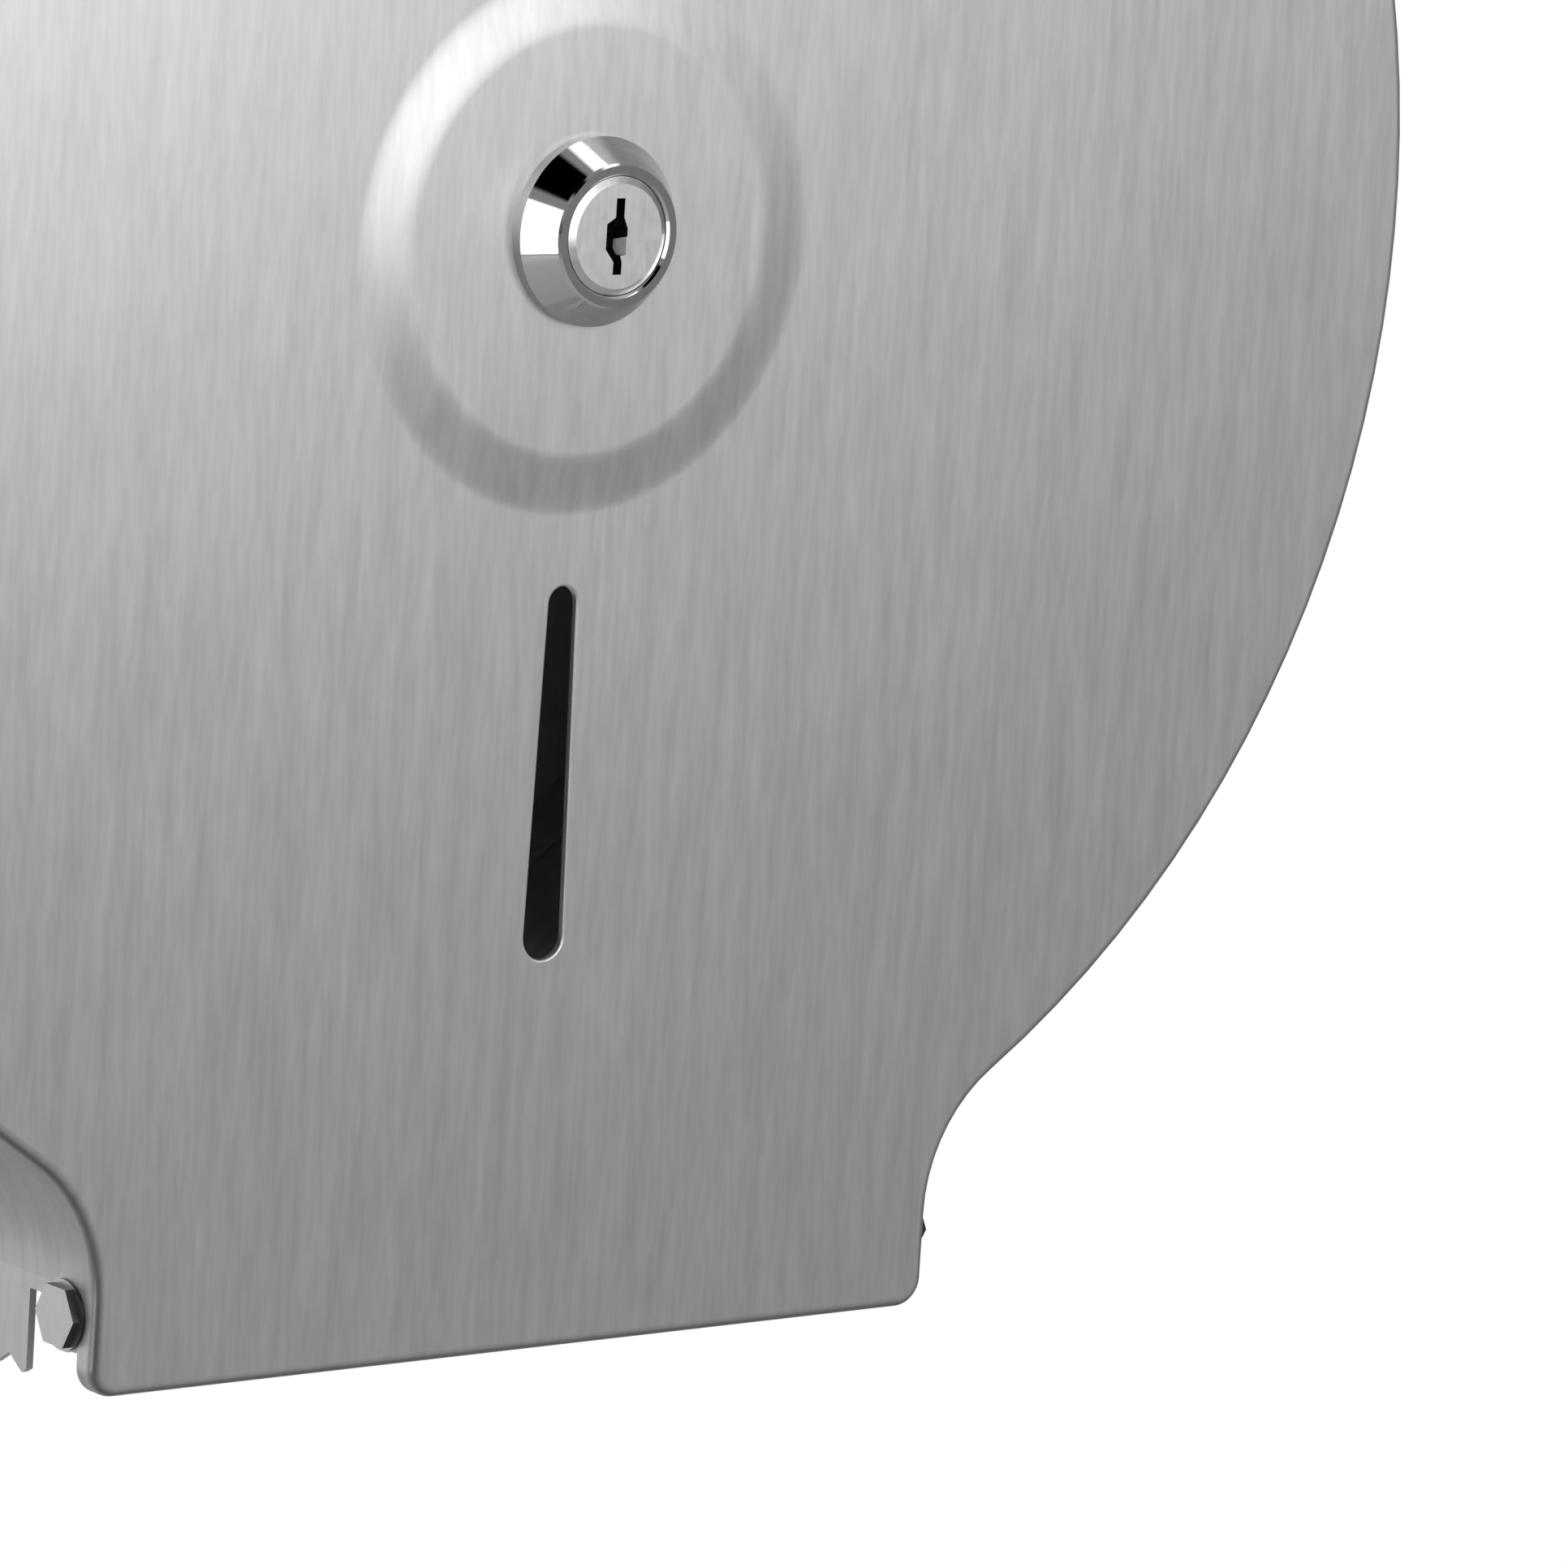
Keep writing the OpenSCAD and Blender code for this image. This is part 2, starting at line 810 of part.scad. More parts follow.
module lock_housing() {
    bore_r = plug_r + plug_clear;
    mouth_r = plug_r + face_groove;
    color("silver")
        translate([0, 0, lock_rise]) {
            turned()
                polygon([
                    [bore_r, boss_out], [head_base_r, boss_out], [head_base_r, boss_out + head_foot],
                    [head_front_r + edge_break, face_out - edge_break], [head_front_r, face_out],
                    [mouth_r, face_out], [bore_r, face_out - face_groove]
                ]);
            layer(barrel_end, boss_out)
                difference() {
                    barrel_shape(barrel_r, barrel_flats);
                    circle(bore_r);
                }
            rotate([0, lug_width / 2, 0])
                stop_lug();
        }
}

// The lug on the barrel's end that the stop washer meets
module stop_lug() {
    turned(lug_width)
        translate([stop_r - stop_cut + stop_gap, barrel_end - stop_t + stop_gap / 2])
            square([barrel_flats / 2 - stop_r + stop_cut - stop_gap, stop_t]);
}

module lock_nut() {
    rear = boss_out - sheet_t - spring_washer_t - lock_nut_t;
    color("silver")
        translate([0, 0, lock_rise])
            layer(rear, rear + lock_nut_t)
                difference() {
                    hexagon(lock_nut_af);
                    circle(barrel_r + plug_clear);
                }
}

module lock_washer() {
    rear = boss_out - sheet_t - spring_washer_t;
    color("grey")
        translate([0, 0, lock_rise])
            layer(rear, rear + spring_washer_t)
                difference() {
                    circle(lock_nut_af / 2 + sheet_t);
                    circle(barrel_r + 2 * plug_clear);
                }
}

// The keyway: a slit that steps aside at the middle
module keyway() {
    half = keyway_h / 2;
    w = keyway_w / 2;
    polygon([
        [-w, half], [w, half], [w, half / 2], [2 * w, half / 5], [2 * w, 0],
        [0, -half / 10], [0, -half / 3], [w, -2 * half / 3], [w, -half], [-w, -half],
        [-w, -2 * half / 3], [-3 * w, -half / 3], [-3 * w, half / 3], [-w, half / 2]
    ]);
}

// The slope in the plug's face that leads the key into the keyway's middle
module key_slope() {
    translate([0, -face_out, -keyway_h / 4])
        linear_extrude(keyway_h / 3)
            polygon([[-eps, -past], [key_lead + past, -past], [-eps, key_lead]]);
}

module wafer_places() {
    first = face_out - wafer_first - wafer_t;
    for (i = [0:wafer_n - 1])
        translate([0, -first + wafer_pitch * i, 0])
            children();
}

module lock_plug() {
    slot_w = wafer_w + 2 * wafer_clear;
    color("silver")
        translate([0, 0, lock_rise])
            difference() {
                union() {
                    turned()
                        polygon([
                            [0, barrel_end], [plug_r, barrel_end], [plug_r, face_out - plug_bevel / 2],
                            [plug_r - plug_bevel, face_out], [0, face_out]
                        ]);
                    layer(cam_rear + stop_gap, barrel_end)
                        square(tail_w, center = true);
                }
                layer(face_out - keyway_d, face_out + past)
                    keyway();
                key_slope();
                wafer_places()
                    layer(-wafer_clear, wafer_t + wafer_clear)
                        square([slot_w, 2 * plug_r + past], center = true);
                layer(cam_rear - past, cam_rear + cam_screw_l)
                    circle(cam_screw_r + pin_clear);
            }
}

module lock_wafers() {
    window_w = 3 * keyway_w + 0.4;
    color("goldenrod")
        translate([0, 0, lock_rise])
            wafer_places()
                layer(0, wafer_t)
                    difference() {
                        square([wafer_w, wafer_h], center = true);
                        square([window_w, keyway_h + 0.4], center = true);
                    }
}

// A wedge of a circle, from one angle through another
module sector(r, from, sweep) {
    polygon(concat([[0, 0]], [for (i = [0:wedge_steps])
        let (a = from + sweep * i / wedge_steps) [2 * r * cos(a), 2 * r * sin(a)]]));
}

module stop_washer() {
    sweep = quarter + lug_width + 2 * lug_free;
    color("grey")
        translate([0, 0, lock_rise])
            layer(cam_front, stop_front)
                difference() {
                    circle(stop_r);
                    difference() {
                        sector(stop_r, -lug_width / 2 - lug_free, sweep);
                        circle(stop_r - stop_cut);
                    }
                    square(tail_w + 2 * pin_clear, center = true);
                }
}

module lock_cam() {
    color("grey")
        translate([0, 0, lock_rise])
            layer(cam_rear, cam_front)
                difference() {
                    union() {
                        circle(plug_r);
                        translate([-cam_w / 2, -cam_reach])
                            square([cam_w, cam_reach]);
                    }
                    square(tail_w + 2 * pin_clear, center = true);
                }
}

module cam_washer() {
    color("silver")
        translate([0, 0, lock_rise])
            layer(washer_rear, cam_rear)
                difference() {
                    circle(cam_washer_r);
                    circle(cam_screw_r + pin_clear);
                }
}

module cam_screw() {
    color("silver")
        translate([0, 0, lock_rise]) {
            layer(washer_rear - cam_screw_h, washer_rear)
                hexagon(cam_screw_af);
            layer(washer_rear, cam_rear + cam_screw_l - pin_clear)
                circle(cam_screw_r);
        }
}

back_plate();
band();
spindle_flange();
spindle_rivets();
spindle_tube();
strike_plate();
thrust_washer(tube_foot);  // rear_washer
thrust_washer(front_thrust);  // front_washer
circlip();
hinge_bolts();
hinge_nuts();
hinge_washers();
cover();
lock_housing();
lock_nut();
lock_washer();
lock_plug();
lock_wafers();
stop_washer();
lock_cam();
cam_washer();
cam_screw();
roll_hub();
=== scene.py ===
import bpy
import bmesh
from math import acos, atan2, cos, degrees, hypot, inf, pi, radians, sin
from mathutils import Matrix, Vector


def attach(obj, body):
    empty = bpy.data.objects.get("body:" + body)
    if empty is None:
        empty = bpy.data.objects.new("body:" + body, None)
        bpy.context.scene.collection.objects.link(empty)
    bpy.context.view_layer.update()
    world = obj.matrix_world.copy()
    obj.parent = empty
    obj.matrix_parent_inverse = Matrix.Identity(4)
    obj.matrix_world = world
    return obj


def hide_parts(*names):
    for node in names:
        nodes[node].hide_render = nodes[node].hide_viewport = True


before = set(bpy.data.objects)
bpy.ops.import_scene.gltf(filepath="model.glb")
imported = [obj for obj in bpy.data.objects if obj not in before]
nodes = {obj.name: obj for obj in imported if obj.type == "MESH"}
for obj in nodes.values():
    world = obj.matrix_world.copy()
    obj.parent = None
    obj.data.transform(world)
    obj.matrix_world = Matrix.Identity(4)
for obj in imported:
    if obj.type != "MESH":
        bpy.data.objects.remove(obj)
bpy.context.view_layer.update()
mm = 0.001
print("frame loaded:", len(nodes), "nodes")


# the photo's viewpoint, in metres, from a fit to the cover's outline, slot and boss
view = {
    "place": (-0.76389, -1.13839, 0.16244),
    "right": (0.791417, -0.608089, 0.062347),
    "up": (0.059782, 0.178501, 0.982122),
    "forward": (0.608346, 0.773541, -0.177622),
    "lens": 235.637, "sensor": 36, "clip": (0.05, 60),
}
camData = bpy.data.cameras.new("photoView")
camData.lens = view["lens"]
camData.sensor_width = view["sensor"]
camData.clip_start, camData.clip_end = view["clip"]
cam = bpy.data.objects.new("photoView", camData)
bpy.context.collection.objects.link(cam)
turn = Matrix((view["right"], view["up"], -Vector(view["forward"]))).transposed()
cam.matrix_world = Matrix.Translation(view["place"]) @ turn.to_4x4()
bpy.context.scene.camera = cam
print("camera placed")


def newMaterial(name):
    mat = bpy.data.materials.new(name)
    mat.use_nodes = True
    tree = mat.node_tree
    tree.nodes.clear()
    out = tree.nodes.new("ShaderNodeOutputMaterial")
    shader = tree.nodes.new("ShaderNodeBsdfPrincipled")
    tree.links.new(shader.outputs["BSDF"], out.inputs["Surface"])
    return mat, tree, shader


def addNode(tree, kind, inputs=None, **settings):
    node = tree.nodes.new(kind)
    for key, value in settings.items():
        setattr(node, key, value)
    for key, value in (inputs or {}).items():
        if isinstance(value, bpy.types.NodeSocket):
            tree.links.new(value, node.inputs[key])
        else:
            node.inputs[key].default_value = value
    return node


# noise stretched by a scale per axis, in object space (metres); shift moves it to another part of the noise
def streaks(tree, scale, detail, rough, shift):
    place = addNode(tree, "ShaderNodeTexCoord")
    stretched = addNode(tree, "ShaderNodeMapping", {
        "Vector": place.outputs["Object"], "Scale": scale, "Location": (shift, shift, shift)})
    noise = addNode(tree, "ShaderNodeTexNoise", {
        "Vector": stretched.outputs["Vector"], "Scale": 1.0, "Detail": detail, "Roughness": rough})
    return noise.outputs["Fac"]


def ranged(tree, value, low, high, toLow, toHigh):
    return addNode(tree, "ShaderNodeMapRange", {
        "Value": value, "From Min": low, "From Max": high, "To Min": toLow, "To Max": toHigh}).outputs["Result"]


noiseMiddle = (0.3, 0.7)  # most of a noise lies between these


def summed(tree, a, b, kind="ADD"):
    return addNode(tree, "ShaderNodeMath", {0: a, 1: b}, operation=kind).outputs["Value"]


def greyColour(tree, level, tint):
    mixer = addNode(tree, "ShaderNodeCombineColor")
    for k, part in enumerate(("Red", "Green", "Blue")):
        tree.links.new(summed(tree, level, tint[k], "MULTIPLY"), mixer.inputs[part])
    return mixer.outputs["Color"]


# the grain's layers: detail and roughness of the noise, its shift, and the range that is used of it
grain = {
    "fine": {"detail": 2.0, "rough": 0.55, "shift": 0.0, "range": (0.25, 0.75)},
    "coarse": {"detail": 3.0, "rough": 0.6, "shift": 3.7, "range": (0.25, 0.75)},
    "cloud": {"detail": 2.0, "rough": 0.5, "shift": 9.1, "range": (0.3, 0.7)},
}


# sheet steel with a brushed grain, glossier in a bend and darkened there by a painted dark reflection;
# fine, coarse and cloud are noise scales per metre along X, Y, Z
def brushedSteel(name, look):
    mat, tree, shader = newMaterial(name)
    noise, level = {}, None
    for part, layer in grain.items():
        noise[part] = streaks(tree, look[part], layer["detail"], layer["rough"], layer["shift"])
        depth = look[part + "Depth"]
        shade = ranged(tree, noise[part], *layer["range"], -depth, depth)
        level = summed(tree, level, shade) if level else shade
    level = summed(tree, level, look["grey"])
    # painted dark reflection: the bend mask darkens the base colour towards the middle of a bend
    bend = addNode(tree, "ShaderNodeAttribute", attribute_name="bend").outputs["Fac"]
    level = summed(tree, level, ranged(tree, bend, 0.0, 1.0, 1.0, 1.0 - look["bendPaintedShade"]), "MULTIPLY")
    tree.links.new(greyColour(tree, level, look["tint"]), shader.inputs["Base Color"])
    wear = ranged(tree, noise["coarse"], *grain["coarse"]["range"], -look["wear"], look["wear"])
    roughness = summed(tree, wear, look["roughness"])
    roughness = summed(tree, roughness, ranged(tree, bend, 0.0, 1.0, 0.0, -look["bendGloss"]))
    tree.links.new(roughness, shader.inputs["Roughness"])
    shader.inputs["Metallic"].default_value = look["metallic"]
    shader.inputs["Anisotropic"].default_value = look["anisotropic"]
    shader.inputs["Anisotropic Rotation"].default_value = look["turn"]
    tangent = addNode(tree, "ShaderNodeTangent", direction_type="RADIAL", axis=look["tangentAxis"])
    tree.links.new(tangent.outputs["Tangent"], shader.inputs["Tangent"])
    height = summed(tree, noise["fine"], summed(tree, noise["coarse"], look["coarseHeight"], "MULTIPLY"))
    bump = addNode(tree, "ShaderNodeBump", {
        "Height": height, "Strength": look["bump"], "Distance": look["bumpHeight"]})
    tree.links.new(bump.outputs["Normal"], shader.inputs["Normal"])
    return mat


# smaller metal pieces: even colour, faint swirls, worn roughness;
# the faces that turn away from the side axis get a painted shade, darker by the given factor
def plainMetal(name, look):
    mat, tree, shader = newMaterial(name)
    spots = streaks(tree, (look["spots"],) * 3, detail=4.0, rough=0.6, shift=1.3)
    lines = streaks(tree, look["lines"], detail=2.0, rough=0.5, shift=5.9)
    level = summed(tree, ranged(tree, spots, *noiseMiddle, -look["spotDepth"], look["spotDepth"]), look["grey"])
    level = summed(tree, level, ranged(tree, lines, *noiseMiddle, -look["lineDepth"], look["lineDepth"]))
    # painted shade on the side faces, standing in for the dark reflections they would show
    if "sides" in look:
        facing = addNode(tree, "ShaderNodeTexCoord").outputs["Normal"]
        across = addNode(tree, "ShaderNodeSeparateXYZ", {"Vector": facing}).outputs[look["sideAxis"]]
        across = summed(tree, across, across, "MULTIPLY")
        paintedShade = ranged(tree, across, *look["sideRange"], look["sides"], 1.0)
        level = summed(tree, level, paintedShade, "MULTIPLY")
    tree.links.new(greyColour(tree, level, look["tint"]), shader.inputs["Base Color"])
    smooth, worn = look["roughness"] * 0.8, look["roughness"] * 1.2
    tree.links.new(ranged(tree, spots, *noiseMiddle, smooth, worn), shader.inputs["Roughness"])
    shader.inputs["Metallic"].default_value = look["metallic"]
    bump = addNode(tree, "ShaderNodeBump", {
        "Height": lines, "Strength": look["bump"], "Distance": look["bumpHeight"]})
    tree.links.new(bump.outputs["Normal"], shader.inputs["Normal"])
    return mat


# plastic with faint mottling and fine pores
def mouldedPlastic(name, look):
    mat, tree, shader = newMaterial(name)
    spots = streaks(tree, (look["spots"],) * 3, detail=4.0, rough=0.6, shift=2.2)
    pores = streaks(tree, (look["pores"],) * 3, detail=2.0, rough=0.5, shift=7.7)
    level = summed(tree, ranged(tree, spots, *noiseMiddle, -look["spotDepth"], look["spotDepth"]), look["grey"])
    tree.links.new(greyColour(tree, level, look["tint"]), shader.inputs["Base Color"])
    smooth, worn = look["roughness"] - look["wear"], look["roughness"] + look["wear"]
    tree.links.new(ranged(tree, spots, *noiseMiddle, smooth, worn), shader.inputs["Roughness"])
    bump = addNode(tree, "ShaderNodeBump", {
        "Height": pores, "Strength": look["bump"], "Distance": look["bumpHeight"]})
    tree.links.new(bump.outputs["Normal"], shader.inputs["Normal"])
    return mat


coverLook = {
    "grey": 0.56, "tint": (1.0, 1.0, 0.995), "metallic": 0.9, "roughness": 0.42, "wear": 0.03,
    "fine": (1100, 1100, 150), "coarse": (430, 430, 42), "cloud": (160, 160, 8),
    # the cover's bends are darkened by 0.7 as a painted dark reflection
    "fineDepth": 0.035, "coarseDepth": 0.03, "cloudDepth": 0.012, "bendPaintedShade": 0.7, "bendGloss": 0.14,
    "anisotropic": 0.5, "turn": 0.0, "tangentAxis": "Z",
    "coarseHeight": 0.6, "bump": 0.25, "bumpHeight": 0.00005,
}
bandLook = dict(coverLook, fine=(150, 1100, 150), coarse=(42, 430, 42), cloud=(8, 160, 8),
                tangentAxis="Y", turn=0.25, grey=0.54)
backLook = dict(coverLook, fine=(900, 900, 60), coarse=(300, 300, 20), grey=0.46, roughness=0.45,
                bump=0.15, anisotropic=0.3)
spindleLook = {
    "grey": 0.45, "tint": (1.0, 1.0, 0.99), "metallic": 1.0, "roughness": 0.35, "spots": 90,
    "spotDepth": 0.03, "lines": (60, 2200, 60), "lineDepth": 0.03, "bump": 0.2, "bumpHeight": 0.00004,
}
zincLook = dict(spindleLook, grey=0.5, tint=(1.0, 1.0, 1.02), roughness=0.3, spots=260,
                lines=(800, 800, 800), lineDepth=0.015, bump=0.1)
chromeLook = {
    "grey": 0.56, "tint": (1.0, 1.0, 1.0), "metallic": 1.0, "roughness": 0.06, "spots": 500,
    "spotDepth": 0.01, "lines": (900, 900, 900), "lineDepth": 0.01, "bump": 0.03, "bumpHeight": 0.00004,
}
# painted shade: the plug's keyway and barrel walls and the bolts' hexagon sides are darkened
plugLook = dict(chromeLook, grey=0.62, roughness=0.34, lines=(2600, 2600, 120), lineDepth=0.03, bump=0.15,
                sides=0.2, sideAxis="Y", sideRange=(0.15, 0.85))
boltLook = dict(zincLook, sides=0.12, sideAxis="X", sideRange=(0.15, 0.85))
springLook = dict(spindleLook, grey=0.06, roughness=0.4)
brassLook = dict(zincLook, grey=0.62, tint=(1.0, 0.78, 0.42), roughness=0.28)
hubLook = {
    "grey": 0.8, "tint": (1.0, 1.0, 0.985), "spots": 60, "spotDepth": 0.02, "roughness": 0.5,
    "wear": 0.06, "pores": 2600, "bump": 0.12, "bumpHeight": 0.00005,
}
nylonLook = dict(hubLook, grey=0.78, tint=(1.0, 0.98, 0.93), spots=120, roughness=0.42)

coverSteel = brushedSteel("coverSteel", coverLook)
bandSteel = brushedSteel("bandSteel", bandLook)
backSteel = brushedSteel("backSteel", backLook)
spindleSteel = plainMetal("spindleSteel", spindleLook)
zincSteel = plainMetal("zincSteel", zincLook)
lockChrome = plainMetal("lockChrome", chromeLook)
plugSteel = plainMetal("plugSteel", plugLook)
boltSteel = plainMetal("boltSteel", boltLook)
springSteel = plainMetal("springSteel", springLook)
waferBrass = plainMetal("waferBrass", brassLook)
hubPlastic = mouldedPlastic("hubPlastic", hubLook)
nylon = mouldedPlastic("nylon", nylonLook)

finishes = {
    coverSteel: ["cover"],
    bandSteel: ["band"],
    backSteel: ["back_plate"],
    spindleSteel: ["spindle_flange", "spindle_tube", "strike_plate"],
    zincSteel: ["spindle_rivets", "hinge_nuts", "lock_nut", "stop_washer", "lock_cam",
                "cam_washer", "cam_screw"],
    boltSteel: ["hinge_bolts"],
    lockChrome: ["lock_housing"],
    plugSteel: ["lock_plug"],
    springSteel: ["circlip", "lock_washer"],
    waferBrass: ["lock_wafers"],
    hubPlastic: ["roll_hub"],
    nylon: ["rear_washer", "front_washer", "hinge_washers"],
}
for mat, names in finishes.items():
    for name in names:
        for place in nodes[name].material_slots:
            place.material = mat
print("materials assigned")


# the cover's sheet, in mm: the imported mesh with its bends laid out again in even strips
# (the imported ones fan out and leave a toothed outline), a plainer boss slope and a rounded slot
sheet = {
    "face": 120.0, "thick": 1.0, "bend": 1.5, "rings": 11,
    "weld": 0.001, "nearFlat": 0.002, "nearBend": 0.004, "sameTurn": 0.05, "sharp": 30,
    "arcs": [
        {"x": 0.0, "z": 0.0, "radius": 135.0, "side": 1, "middle": 90.0},
        {"x": 87.423, "z": -130.32, "radius": 21.927, "side": -1, "middle": 151.9},
        {"x": -87.423, "z": -130.32, "radius": 21.927, "side": -1, "middle": 28.1},
        {"x": 61.696, "z": -139.0, "radius": 3.8, "side": 1, "middle": -45.0},
        {"x": -61.696, "z": -139.0, "radius": 3.8, "side": 1, "middle": -135.0},
    ],
    "boss": {"edge": 35.0, "top": 26.7, "height": 1.0, "soft": 0.2},
    "slot": {"half": 4.0, "low": -92.5, "high": -43.0, "round": 0.35, "steps": 3},
    "plain": {"radius": 100, "low": -110},  # the plate inside these has no outer bend
}


# where a vertex lies on an arc's bend: (turn along the arc, ring from the plate to the rim), or None
def placeOnBend(vert, arc):
    dx, dz = vert.co.x / mm - arc["x"], vert.co.z / mm - arc["z"]
    out = sheet["bend"] - (arc["radius"] - hypot(dx, dz)) * arc["side"]
    front = -vert.co.y / mm - (sheet["face"] - sheet["bend"])
    if min(out, front) < -sheet["nearFlat"] or abs(hypot(out, front) - sheet["bend"]) > sheet["nearBend"]:
        return None
    along = (degrees(atan2(dz, dx)) - arc["middle"] + 180) % 360
    return round(along, 2), round(degrees(atan2(out, front)) * sheet["rings"] / 90)


# takes the faces of an arc's bend away and lays quads and single triangles between its rings instead
def layBend(mesh, arc):
    rings = [{} for _ in range(sheet["rings"] + 1)]
    found = {}
    for vert in mesh.verts:
        place = placeOnBend(vert, arc)
        if place:
            rings[place[1]][place[0]] = vert
            found[vert] = place[1]
    old = []
    for face in mesh.faces:
        levels = {found.get(vert, -1) for vert in face.verts}
        if -1 not in levels and len(levels) > 1:
            old.append(face)
    bmesh.ops.delete(mesh, geom=old, context="FACES_ONLY")
    for lower, upper in zip(rings, rings[1:]):
        a, b = sorted(lower), sorted(upper)
        i = j = 0
        while i < len(a) - 1 or j < len(b) - 1:
            nextA = a[i + 1] if i < len(a) - 1 else inf
            nextB = b[j + 1] if j < len(b) - 1 else inf
            if abs(nextA - nextB) < sheet["sameTurn"]:
                mesh.faces.new((lower[a[i]], lower[nextA], upper[nextB], upper[b[j]]))
                i, j = i + 1, j + 1
            elif nextA < nextB:
                mesh.faces.new((lower[a[i]], lower[nextA], upper[b[j]]))
                i += 1
            else:
                mesh.faces.new((lower[a[i]], upper[nextB], upper[b[j]]))
                j += 1


# height of the pressed boss at a radius: straight slope with a soft start and end
def bossHeight(radius):
    boss = sheet["boss"]
    part = min(max((boss["edge"] - radius) / (boss["edge"] - boss["top"]), 0.0), 1.0)
    soft = boss["soft"]
    if part < soft:
        share = part * part / (2 * soft * (1 - soft))
    elif part > 1 - soft:
        share = 1 - (1 - part) ** 2 / (2 * soft * (1 - soft))
    else:
        share = (part - soft / 2) / (1 - soft)
    return boss["height"] * share


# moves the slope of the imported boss, on both sides of the sheet, to bossHeight
def pressBoss(mesh):
    boss, face, thick = sheet["boss"], sheet["face"], sheet["thick"]
    inside, outside = boss["top"] + 0.01, boss["edge"] - 0.01
    for vert in mesh.verts:
        radius = hypot(vert.co.x, vert.co.z) / mm
        if inside < radius < outside and vert.co.y / mm < thick - face:
            part = (boss["edge"] - radius) / (boss["edge"] - boss["top"])
            packed = boss["height"] * (1 - cos(pi * part)) / 2
            behind = -vert.co.y / mm - packed < face - thick / 2
            level = face - (thick if behind else 0.0)
            vert.co.y = -(level + bossHeight(radius)) * mm


# joins the flat front's triangles, so that the bevel has room, and rounds the slot's front edge
def roundSlot(mesh):
    slot, front = sheet["slot"], -sheet["face"] * mm
    mesh.normal_update()
    flat = {face for face in mesh.faces if face.normal.y < -0.9999
            and all(abs(vert.co.y - front) < sheet["weld"] * mm for vert in face.verts)}
    inner = [edge for edge in mesh.edges
             if len(edge.link_faces) == 2 and all(face in flat for face in edge.link_faces)]
    bmesh.ops.dissolve_limit(mesh, angle_limit=radians(0.05), verts=[], edges=inner)
    rim = []
    for edge in mesh.edges:
        ends = [vert.co / mm for vert in edge.verts]
        onSlot = all(abs(end.x) < slot["half"] and slot["low"] < end.z < slot["high"]
                     and abs(end.y + sheet["face"]) < sheet["weld"] for end in ends)
        if onSlot and edge.calc_face_angle(0.0) > 1.0:  # the plate's edge, near a right angle
            rim.append(edge)
    bmesh.ops.bevel(mesh, geom=rim, offset=slot["round"] * mm, offset_type="OFFSET",
                    segments=slot["steps"], profile=0.5, affect="EDGES", clamp_overlap=False)


# mask for a bend's painted dark reflection and its extra gloss: 1 in the middle of a bend, 0 on the flat sheet
def bendShare(vert):
    x, y, z = vert.co / mm
    front = -y - (sheet["face"] - sheet["bend"])
    plain = hypot(x, z) < sheet["plain"]["radius"] and z > sheet["plain"]["low"]
    if plain or not 0 < front < sheet["bend"]:
        return 0.0
    return sin(2 * acos(front / sheet["bend"])) ** 2


def makeCover():
    packed = nodes["cover"]
    work = bmesh.new()
    work.from_mesh(packed.data)
    bmesh.ops.remove_doubles(work, verts=work.verts, dist=sheet["weld"] * mm)
    for arc in sheet["arcs"]:
        layBend(work, arc)
    for loose, context in ((work.edges, "EDGES"), (work.verts, "VERTS")):
        bmesh.ops.delete(work, geom=[part for part in loose if not part.link_faces], context=context)
    pressBoss(work)
    roundSlot(work)
    bmesh.ops.recalc_face_normals(work, faces=work.faces)
    openEdges = sum(len(edge.link_faces) != 2 for edge in work.edges)
    print("cover sheet:", len(work.faces), "faces,", openEdges, "open edges")
    # the bend mask that the cover's material reads for its painted dark reflection and its gloss
    shade = work.verts.layers.float.new("bend")
    for vert in work.verts:
        vert[shade] = bendShare(vert)
    for edge in work.edges:
        edge.smooth = edge.calc_face_angle(0.0) < radians(sheet["sharp"])
    for face in work.faces:
        face.smooth = True
    mesh = bpy.data.meshes.new("coverSheet")
    work.to_mesh(mesh)
    work.free()
    piece = bpy.data.objects.new("coverSheet", mesh)
    bpy.context.collection.objects.link(piece)
    mesh.materials.append(coverSteel)
    even = piece.modifiers.new("evenShade", "WEIGHTED_NORMAL")
    even.keep_sharp = True
    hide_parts("cover")
    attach(piece, "cover")


makeCover()
print("cover laid out")


# the room: white behind the object, dimmer round the camera; the patches are dark and white areas
# of the world (direction, inner and outer angle, level) that the lock's cone mirrors
room = {
    "floorDrop": 0.42, "floorHalf": 9.0, "floorGrey": 0.6, "floorBack": (0.3, 0.9),
    "floorGlow": {"near": (0.49, 0.7), "far": (0.73, 1.0)},
    "sky": 0.35, "ground": 0.32, "rise": (-0.4, 0.8), "backdrop": (0.45, 0.8),
    "patches": [
        {"toward": (-0.52, -0.84, -0.13), "inner": 16, "outer": 30, "level": 0.0},
        {"toward": (-0.46, -0.245, 0.853), "inner": 19, "outer": 23, "level": 0.0},
        {"toward": (0.306, -0.037, 0.948), "inner": 14, "outer": 18, "level": 2.0},
    ],
}


# camera rays see the white backdrop everywhere, mirrored ones see it where it stands behind the object
def backdropShare(tree, behind, direct=1.0):
    seen = addNode(tree, "ShaderNodeLightPath")
    mirrored = summed(tree, seen.outputs["Is Glossy Ray"], seen.outputs["Is Transmission Ray"], "MAXIMUM")
    mirrored = summed(tree, mirrored, behind, "MULTIPLY")
    return summed(tree, summed(tree, seen.outputs["Is Camera Ray"], direct, "MULTIPLY"), mirrored, "MAXIMUM")


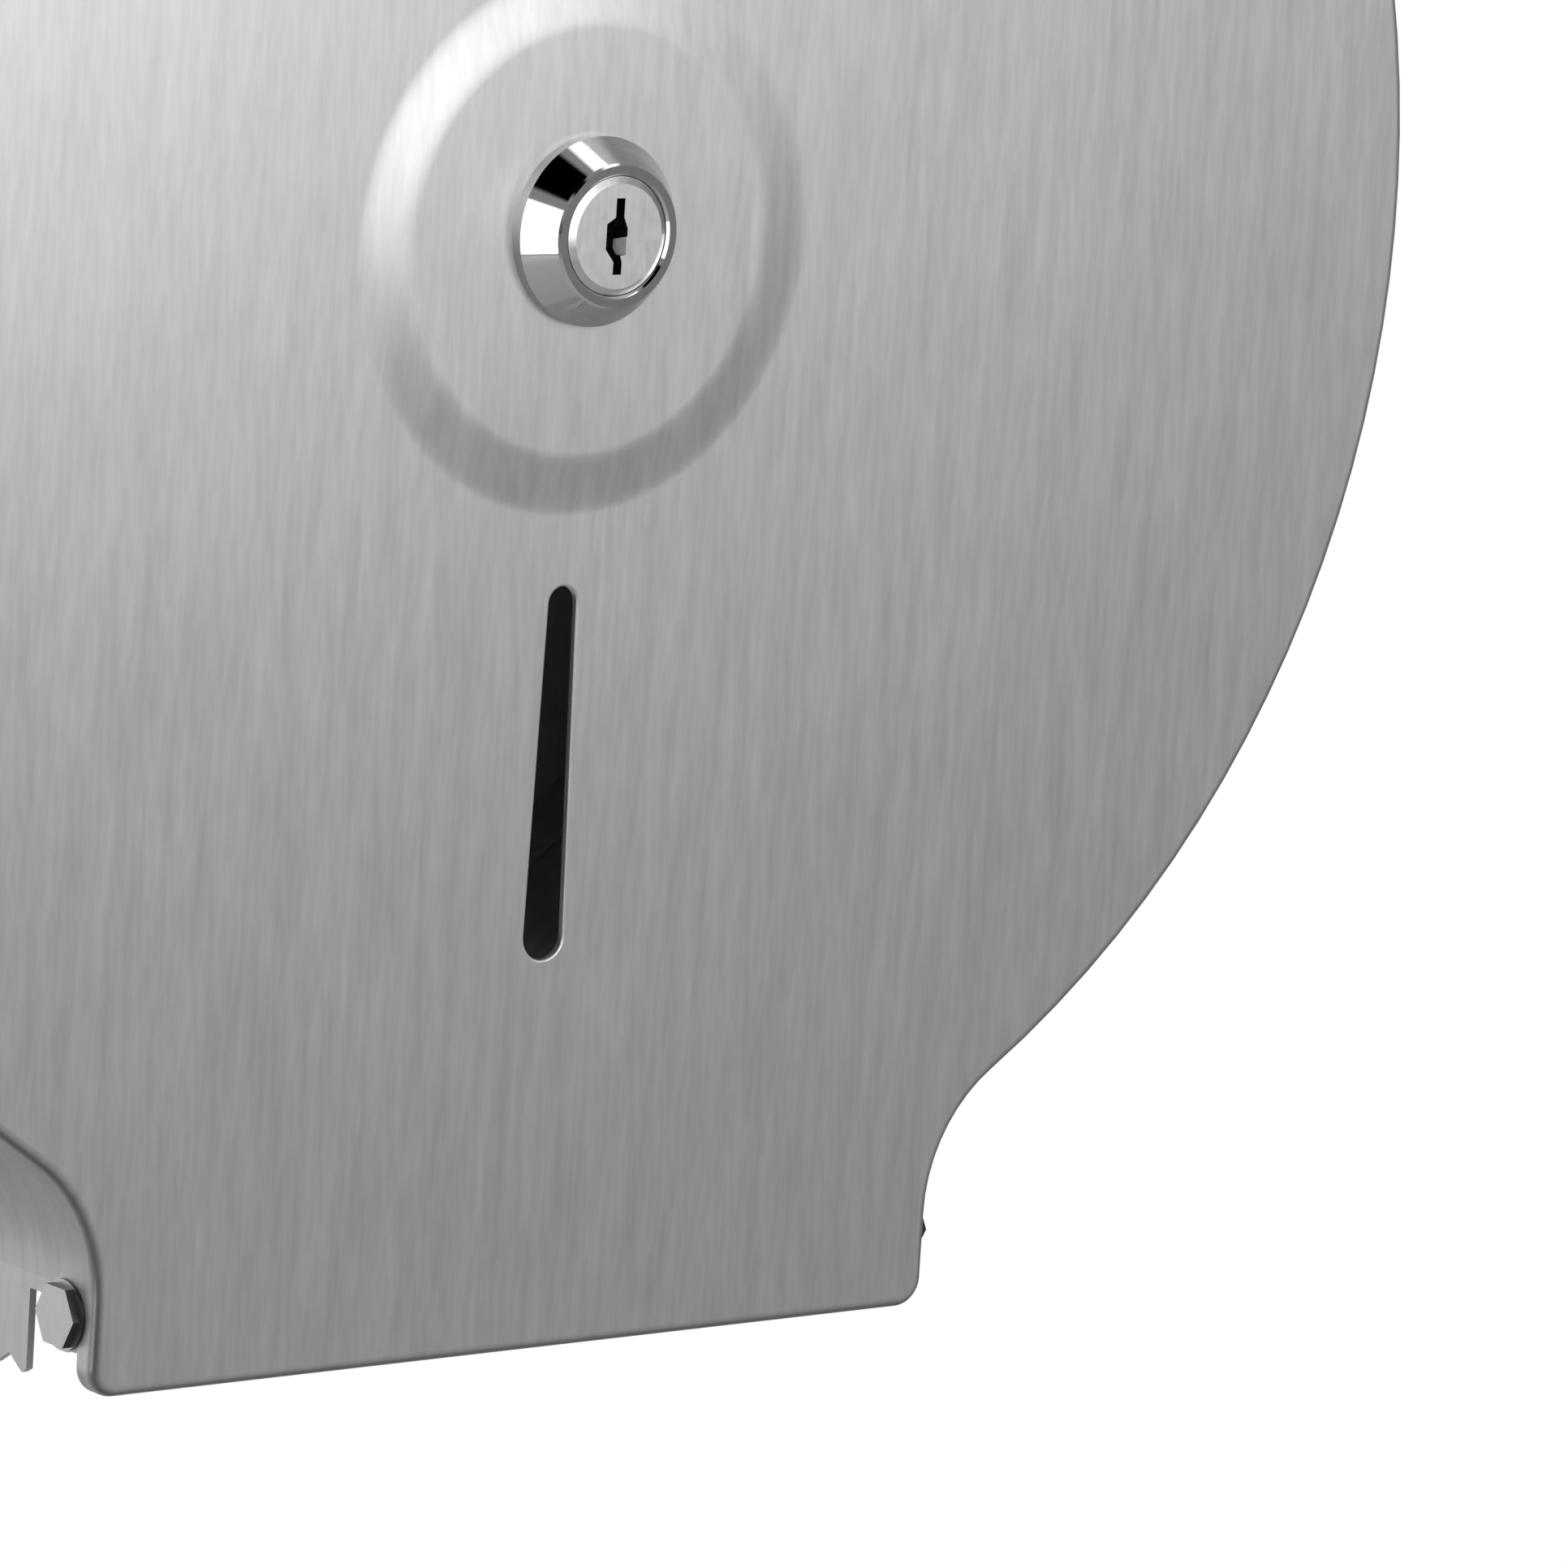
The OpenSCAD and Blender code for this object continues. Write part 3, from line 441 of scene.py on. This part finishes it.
# a matt floor below the object that keeps its shadow and turns white further out
def drawFloor():
    half, drop = room["floorHalf"], room["floorDrop"]
    mesh = bpy.data.meshes.new("floor")
    mesh.from_pydata([(-half, -half, -drop), (half, -half, -drop), (half, half, -drop), (-half, half, -drop)],
                     [], [(0, 1, 2, 3)])
    floor = bpy.data.objects.new("floor", mesh)
    bpy.context.collection.objects.link(floor)
    paint = bpy.data.materials.new("floorPaint")
    paint.use_nodes = True
    tree = paint.node_tree
    tree.nodes.clear()
    out = tree.nodes.new("ShaderNodeOutputMaterial")
    matt = addNode(tree, "ShaderNodeBsdfDiffuse", {"Color": (room["floorGrey"],) * 3 + (1,)})
    glow = addNode(tree, "ShaderNodeEmission", {"Color": (1, 1, 1, 1), "Strength": 1.0})
    place = addNode(tree, "ShaderNodeNewGeometry")
    parts = addNode(tree, "ShaderNodeSeparateXYZ", {"Vector": place.outputs["Position"]})
    behind = ranged(tree, parts.outputs["Y"], *room["floorBack"], 0.0, 1.0)
    away = addNode(tree, "ShaderNodeVectorMath", {0: place.outputs["Position"]}, operation="LENGTH")
    (start, low), (end, high) = room["floorGlow"]["near"], room["floorGlow"]["far"]
    share = backdropShare(tree, behind, ranged(tree, away.outputs["Value"], start, end, low, high))
    both = addNode(tree, "ShaderNodeMixShader", {
        0: share, 1: matt.outputs["BSDF"], 2: glow.outputs["Emission"]})
    tree.links.new(both.outputs["Shader"], out.inputs["Surface"])
    mesh.materials.append(paint)


def drawWorld():
    world = bpy.data.worlds.new("studio")
    bpy.context.scene.world = world
    world.use_nodes = True
    tree = world.node_tree
    tree.nodes.clear()
    out = tree.nodes.new("ShaderNodeOutputWorld")
    toward = addNode(tree, "ShaderNodeTexCoord").outputs["Generated"]
    parts = addNode(tree, "ShaderNodeSeparateXYZ", {"Vector": toward})
    level = ranged(tree, parts.outputs["Z"], *room["rise"], room["ground"], room["sky"])
    for patch in room["patches"]:
        near = addNode(tree, "ShaderNodeVectorMath", {0: toward, 1: Vector(patch["toward"]).normalized()},
                       operation="DOT_PRODUCT").outputs["Value"]
        inside = ranged(tree, near, cos(radians(patch["outer"])), cos(radians(patch["inner"])), 0.0, 1.0)
        around = summed(tree, level, summed(tree, 1.0, inside, "SUBTRACT"), "MULTIPLY")
        level = summed(tree, around, summed(tree, inside, patch["level"], "MULTIPLY"))
    ambient = addNode(tree, "ShaderNodeBackground", {"Color": (1, 1, 1, 1), "Strength": level})
    white = addNode(tree, "ShaderNodeBackground", {"Color": (1, 1, 1, 1), "Strength": 1.0})
    behind = ranged(tree, parts.outputs["Y"], *room["backdrop"], 0.0, 1.0)
    both = addNode(tree, "ShaderNodeMixShader", {
        0: backdropShare(tree, behind), 1: ambient.outputs["Background"], 2: white.outputs["Background"]})
    tree.links.new(both.outputs["Shader"], out.inputs["Surface"])


drawFloor()
drawWorld()

# soft panels: place, what they face, size, and power in watts
lamps = {
    "keyPanel": {"at": (-0.1, -0.6, 0.1), "aim": (-0.1, -0.12, 0.08), "size": (0.3, 0.3), "power": 1.12},
    "highPanel": {"at": (0.15, -0.64, 0.3), "aim": (-0.1, -0.12, 0.1), "size": (0.45, 0.35), "power": 0.5},
    "frontPanel": {"at": (0.3, -0.9, 0.1), "aim": (-0.1, -0.12, 0.08), "size": (0.4, 0.4), "power": 1.0},
    "sidePanel": {"at": (-0.78, -0.36, 0.01), "aim": (-0.02, -0.12, 0.01), "size": (0.26, 0.82), "power": 1.25},
    "backPanel": {"at": (-1.6, 0.9, 0.9), "aim": (0.0, 0.0, 0.0), "size": (0.9, 0.9), "power": 8.0},
}
for name, lamp in lamps.items():
    light = bpy.data.lights.new(name, "AREA")
    light.shape = "RECTANGLE"
    light.size, light.size_y = lamp["size"]
    light.energy = lamp["power"]
    holder = bpy.data.objects.new(name, light)
    holder.location = lamp["at"]
    holder.rotation_euler = (Vector(lamp["aim"]) - Vector(lamp["at"])).to_track_quat("-Z", "Y").to_euler()
    holder.visible_camera = False
    bpy.context.collection.objects.link(holder)
bpy.context.scene.view_settings.view_transform = "Standard"
print("floor, world and lamps set")
